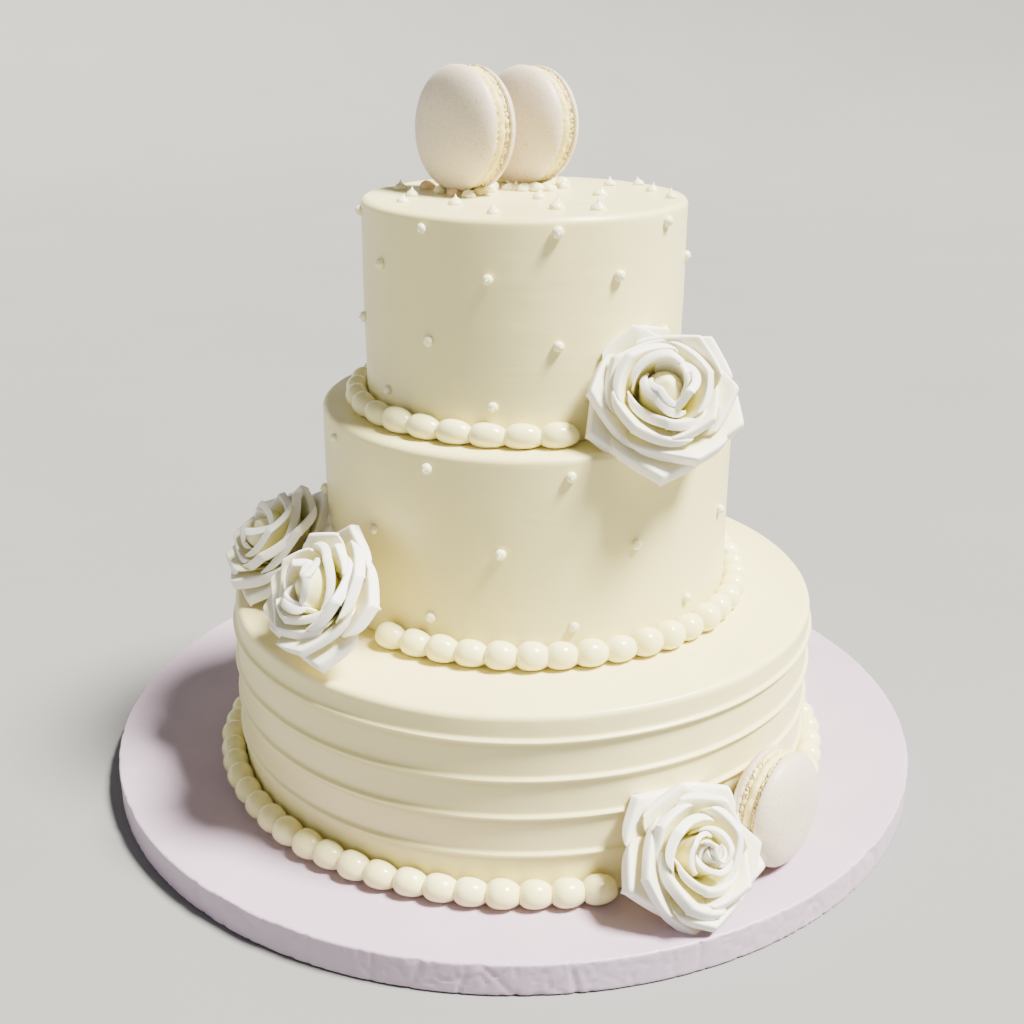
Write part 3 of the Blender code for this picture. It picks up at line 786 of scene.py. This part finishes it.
def macaron(name, azimuth, elevation, radius, finish, foot_finish, seed):
    centre = node_centre(name + "_filling")
    face = heading(azimuth, elevation)
    cream_and_painted_glow = filling(name + "_cream", centre, face, radius, foot_finish, seed)
    keep(cream_and_painted_glow, "macaron_filling", name + "_filling")
    for side, way in (("front", 1.0), ("back", -1.0)):
        origin = centre + face * way * (MACARON_FILLING / 2 + SHELL_GAP)
        dome = shell(f"{name}_{side}_dome", origin, face * way, radius, finish, foot_finish,
                     seed + 7.0 * way)
        keep(dome, "macaron_shell", f"{name}_shell_{side}")


# Roses

def lip_path(width, turn):
    """How far a folded lip goes out and how far down, from the fold to its edge.

    It makes a firm fold, then a gentle roll.
    """
    fine = PETAL_LIP_ROWS * LIP_FINENESS
    part = (np.arange(fine) + 0.5) / fine
    angle = math.radians(turn) * (LIP_FOLD * np.minimum(1.0, part / LIP_FOLD_WIDTH) + LIP_ROLL * part)
    out = np.concatenate([[0.0], np.cumsum(np.cos(angle))]) * width / fine
    down = np.concatenate([[0.0], np.cumsum(np.sin(angle))]) * width / fine
    return out[::LIP_FINENESS], down[::LIP_FINENESS]


def flat_petal(draw, root, length, half_width, drop, lip, lip_turn, painted_glow):
    """A petal laid flat as rows of (across, along, above), and how much painted fold glow each point gets.

    Its upper edge is folded back along two straight lines that meet in its tip.
    """
    peak = draw.uniform(-0.30, 0.30) * half_width
    drops = (drop + draw.uniform(-5.0, 5.0), drop + draw.uniform(-5.0, 5.0))
    lip *= draw.uniform(0.85, 1.15)
    lip_turn *= draw.uniform(0.9, 1.1)
    lean_side = draw.uniform(-0.06, 0.06)
    rows = PETAL_BODY_ROWS + 1 + PETAL_LIP_ROWS
    parts = np.linspace(-1.0, 1.0, 2 * PETAL_SIDE_COLUMNS + 1)
    flat = np.zeros((rows, len(parts), 3))
    cream_and_painted_glow = np.zeros((rows, len(parts)))
    grown = np.linspace(0.0, 1.0, PETAL_BODY_ROWS + 1)
    body = slice(0, PETAL_BODY_ROWS + 1)
    folded = slice(PETAL_BODY_ROWS, rows)
    for column, part in enumerate(parts):
        spread = math.copysign(abs(part) ** 1.3, part)
        away = spread * (half_width + peak if part < 0.0 else half_width - peak)
        fall = math.radians(drops[0] if part < 0.0 else drops[1])
        fold_side = peak + away
        below_tip = math.sqrt(away * away + PETAL_TIP_ROUND ** 2) - PETAL_TIP_ROUND
        fold_far = length - math.tan(fall) * below_tip
        way = fall * min(1.0, abs(away) / 0.5) * math.copysign(1.0, part)
        taper = (1.0 - 0.96 * abs(spread) ** 5) / math.cos(fall - abs(way))
        lift = -PETAL_SPIRAL * part
        rooted = root * PETAL_ROOT_SPREAD * part * (1.0 - grown)
        flat[body, column, 0] = rooted + fold_side * (1.0 - (1.0 - grown) ** PETAL_SHOULDER)
        flat[body, column, 1] = fold_far * grown
        flat[body, column, 2] = lift * (0.3 + 0.7 * grown)
        # Painted glow of bounced light: strongest near the root deep in the folds, fading towards the plain
        # white lip
        cream_and_painted_glow[body, column] = painted_glow * np.clip(2.2 - 1.95 * grown, 0.0, 1.0)
        out, down = lip_path(lip * taper, lip_turn * (1.0 + lean_side * part))
        flat[folded, column, 0] = fold_side + math.sin(way) * out
        flat[folded, column, 1] = fold_far + math.cos(way) * out
        flat[folded, column, 2] = lift - down
    return flat, cream_and_painted_glow


def bent_petal(flat, azimuth, lean, curl, base, root, length, cup, size):
    """The flat petal stood up at its lean and wrapped round the rose's axis, which is +Z."""
    along = np.linspace(0.0, length * 1.3, BEND_POINTS)
    slope = np.radians(lean + curl * (2.0 * np.minimum(1.1, along / length) - 1.0))
    middle = (slope[1:] + slope[:-1]) / 2
    radius = root * 0.9 + np.concatenate([[0.0], np.cumsum(np.sin(middle))]) * along[1]
    height = base + np.concatenate([[0.0], np.cumsum(np.cos(middle))]) * along[1]
    turn = math.radians(azimuth)
    outward = np.array((math.cos(turn), math.sin(turn), 0.0))
    across = np.array((-math.sin(turn), math.cos(turn), 0.0))
    upward = np.array((0.0, 0.0, 1.0))
    side = flat[..., 0:1]
    far = flat[..., 1:2]
    above = flat[..., 2:3]
    distance = np.interp(far, along, radius)
    rise = np.interp(far, along, height)
    tilt = np.interp(far, along, slope)
    wrap = cup * np.maximum(distance, LEAST_WRAP) / np.maximum(LEAST_UPRIGHT, np.cos(tilt))
    swing = np.clip(side / wrap, -MOST_SWING, MOST_SWING)
    inward = np.sin(tilt) * upward - np.cos(tilt) * outward
    sheet = distance * outward + rise * upward
    sheet = sheet + wrap * (1.0 - np.cos(swing)) * inward + wrap * np.sin(swing) * across
    sheet = sheet + above * (np.cos(swing) * inward - np.sin(swing) * across)
    return sheet * size * MM


def thick_petal(shape, sheet, cream_and_painted_glow, rotation, origin):
    """A closed petal of even thickness, added to the shape."""
    rows, columns = sheet.shape[:2]
    normal = np.cross(np.gradient(sheet, axis=1), np.gradient(sheet, axis=0))
    normal /= np.linalg.norm(normal, axis=2, keepdims=True)
    front = (sheet + normal * PETAL_THICKNESS / 2).reshape(-1, 3)
    back = (sheet - normal * PETAL_THICKNESS / 2).reshape(-1, 3)
    half = rows * columns
    faces = []
    for row in range(rows - 1):
        for column in range(columns - 1):
            here = row * columns + column
            above = here + columns
            faces.append((here, here + 1, above + 1, above))
            faces.append((half + here, half + above, half + above + 1, half + here + 1))
    outline = list(range(columns))
    outline += [row * columns + columns - 1 for row in range(1, rows)]
    outline += [(rows - 1) * columns + column for column in range(columns - 2, -1, -1)]
    outline += [row * columns for row in range(rows - 2, 0, -1)]
    for here, after in zip(outline, outline[1:] + outline[:1]):
        faces.append((here, half + here, half + after, after))
    points = np.concatenate([front, back]) @ np.array(rotation).T + np.array(origin)
    fade = list(cream_and_painted_glow.reshape(-1))
    shape.add(points, faces, fade + fade)


def rose(name, centre, azimuth, elevation, spin, size, bud, finish, seed):
    draw = random.Random(seed)
    rotation = turn_to(heading(azimuth, elevation))
    origin = Vector([value * MM for value in centre])
    shape = Shape()
    for whorl in bud + OPEN_WHORLS:
        count, first, lean, curl, base, root, length, half_width, drop, lip, lip_turn, cup, painted_glow = whorl
        for step in range(count):
            turn = spin + first + 360.0 * step / count + draw.uniform(-7.0, 7.0)
            long = length * draw.uniform(0.95, 1.06)
            flat, cream_and_painted_glow = flat_petal(draw, root, long, half_width, drop, lip, lip_turn, painted_glow)
            sheet = bent_petal(flat, turn, lean + draw.uniform(-3.0, 3.0), curl, base, root, long, cup, size)
            thick_petal(shape, sheet, cream_and_painted_glow, rotation, origin)
    core = [(radius * MM * size, height * MM * size) for radius, height in ROSE_CORE]
    points, faces = turned(core, CORE_SEGMENTS)
    # The core gets the painted fold glow all over
    shape.add(placed(points, rotation, origin), faces, [CORE_PAINTED_GLOW] * len(points))
    item = shape.build(name + "_petals", finish, with_painted_glow=True)
    item.data.set_sharp_from_angle(angle=SHARP_ANGLE)
    return keep(item, "rose", name)


# Board

def board_profile():
    """The drum's side and top with their small round edges, as (radius, height)."""
    profile = [(BOARD_RADIUS - BOARD_EDGE, 0.0)]
    corner_rows = 4
    for step in range(1, corner_rows + 1):
        angle = math.radians(90.0 * step / corner_rows)
        profile.append((BOARD_RADIUS - BOARD_EDGE * (1 - math.sin(angle)),
                        BOARD_EDGE * (1 - math.cos(angle))))
    side_rows = 12
    for step in range(1, side_rows):
        profile.append((BOARD_RADIUS, BOARD_EDGE + (BOARD_TOP - 2 * BOARD_EDGE) * step / side_rows))
    for step in range(corner_rows + 1):
        angle = math.radians(90.0 * step / corner_rows)
        profile.append((BOARD_RADIUS - BOARD_EDGE * (1 - math.cos(angle)),
                        BOARD_TOP - BOARD_EDGE * (1 - math.sin(angle))))
    top_rings = 39
    for step in range(1, top_rings + 1):
        profile.append(((BOARD_RADIUS - BOARD_EDGE) * (1.0 - step / (top_rings + 0.5)), BOARD_TOP))
    return profile


def crease(angle, height, fineness, narrow, deep):
    """The depth of a narrow crease, along the lines where the noise crosses zero."""
    return deep * (max(0.0, narrow - abs(round_noise(angle, fineness, height))) / narrow)


def board(finish):
    """The drum in its wrap paper: a sharp top edge and small creases down the side."""
    def creased(point, angle, distance):
        if distance > BOARD_RADIUS - BOARD_EDGE * 1.01:
            deep = -WRAP_SINK - crease(angle, point.z * 30.0, *WRAP_FOLD)
            deep -= crease(angle, point.z * 110.0, *WRAP_PLEAT)
            deep += WRAP_GRAIN[1] * round_noise(angle, WRAP_GRAIN[0], point.z * 150.0)
            scale = 1.0 + min(0.0, deep) / distance
            return Vector((point.x * scale, point.y * scale, point.z))
        if point.z > BOARD_TOP * 0.5:
            return point + Vector((0.0, 0.0, min(0.0, wobble(point, 30.0, 0.22 * MM) - 0.05 * MM)))
        return point

    points, faces = turned(board_profile(), BOARD_SEGMENTS, creased)
    return keep(add_object("board_wrapped", points, faces, finish), "board", "board")


# Stage

def add_sun(name, azimuth, elevation, strength, softness, colour):
    """A soft light that falls from an azimuth and elevation in degrees."""
    lamp = bpy.data.lights.new(name, "SUN")
    lamp.energy = strength
    lamp.angle = math.radians(softness)
    lamp.color = colour
    item = bpy.data.objects.new(name, lamp)
    item.location = heading(azimuth, elevation) * 2.0
    item.rotation_euler = (-heading(azimuth, elevation)).to_track_quat("-Z", "Y").to_euler()
    bpy.context.scene.collection.objects.link(item)


def stage():
    """A plain pale floor that sweeps up far from the cake, and a soft key light with a weak fill."""
    profile = [(radius, FLOOR_HEIGHT) for radius in FLOOR_RINGS]
    for step in range(1, FLOOR_SWEEP_ROWS + 1):
        angle = math.radians(90.0 * step / FLOOR_SWEEP_ROWS)
        profile.append((FLOOR_RINGS[-1] + FLOOR_SWEEP * math.sin(angle),
                        FLOOR_SWEEP * (1.0 - math.cos(angle))))
    points = []
    for radius, height in profile:
        for step in range(FLOOR_SEGMENTS):
            angle = 2.0 * math.pi * step / FLOOR_SEGMENTS
            points.append((radius * math.cos(angle), radius * math.sin(angle), height))
    faces = ring_faces(len(profile), FLOOR_SEGMENTS)
    faces.append(tuple(range(FLOOR_SEGMENTS)))
    add_object("floor", points, faces, floor_material())
    world = bpy.data.worlds.new("studio")
    bpy.context.scene.world = world
    world.use_nodes = True
    background = world.node_tree.nodes["Background"]
    background.inputs["Color"].default_value = (*STUDIO_COLOUR, 1.0)
    background.inputs["Strength"].default_value = STUDIO_STRENGTH
    add_sun("key", *KEY_LIGHT)
    add_sun("fill", *FILL_LIGHT)


def camera():
    lens = bpy.data.cameras.new("camera")
    lens.sensor_width = SENSOR
    lens.sensor_fit = "HORIZONTAL"
    lens.lens = LENS
    lens.clip_start = CLIP_NEAR
    lens.clip_end = CLIP_FAR
    item = bpy.data.objects.new("camera", lens)
    bpy.context.scene.collection.objects.link(item)
    back = -CAMERA_FORWARD.normalized()
    side = CAMERA_UP.cross(back).normalized()
    up = back.cross(side)
    matrix = item.matrix_world.copy()
    for row in range(3):
        matrix[row][0] = side[row]
        matrix[row][1] = up[row]
        matrix[row][2] = back[row]
        matrix[row][3] = CAMERA_PLACE[row]
    item.matrix_world = matrix
    bpy.context.scene.camera = item


camera()
stage()

icing = icing_material()
beads = bead_material("bead_icing", BEAD_COLOURS)
# A paler copy of the bead icing: painted highlight on the dots and kisses
painted_highlight_icing = bead_material("kiss_icing", PAINTED_HIGHLIGHT_COLOURS)
paste = rose_material()
almond = shell_material()
cream_and_painted_glow = foot_material()
peach = peach_material()

board(board_material())
tier("bottom_tier_icing", BOTTOM_AXIS, BOTTOM_RADIUS, BOARD_TOP, BOTTOM_TOP, RIDGE_HEIGHTS, icing, 1.0)
tier("middle_tier_icing", MIDDLE_AXIS, MIDDLE_RADIUS, BOTTOM_TOP, MIDDLE_TOP, (), icing, 5.0)
tier("top_tier_icing", TOP_AXIS, TOP_RADIUS, MIDDLE_TOP, TOP_TOP, (), icing, 9.0)
wall_dots("middle_dots", MIDDLE_AXIS, MIDDLE_RADIUS, MIDDLE_DOT_ROWS, MIDDLE_DOTS_PER_ROW, painted_highlight_icing,
          "middle_tier", 21)
wall_dots("top_dots", TOP_AXIS, TOP_RADIUS, TOP_DOT_ROWS, TOP_DOTS_PER_ROW, painted_highlight_icing, "top_tier", 22)
top_toppings(painted_highlight_icing, peach)
for number, row in enumerate(BEAD_ROWS):
    bead_border(*row, beads, 31 + number)
for number, (name, azimuth, elevation, radius) in enumerate(MACARONS):
    macaron(name, azimuth, elevation, radius, almond, cream_and_painted_glow, 3.0 + 11.0 * number)
for number, row in enumerate(ROSES):
    rose(*row, paste, 41 + number)
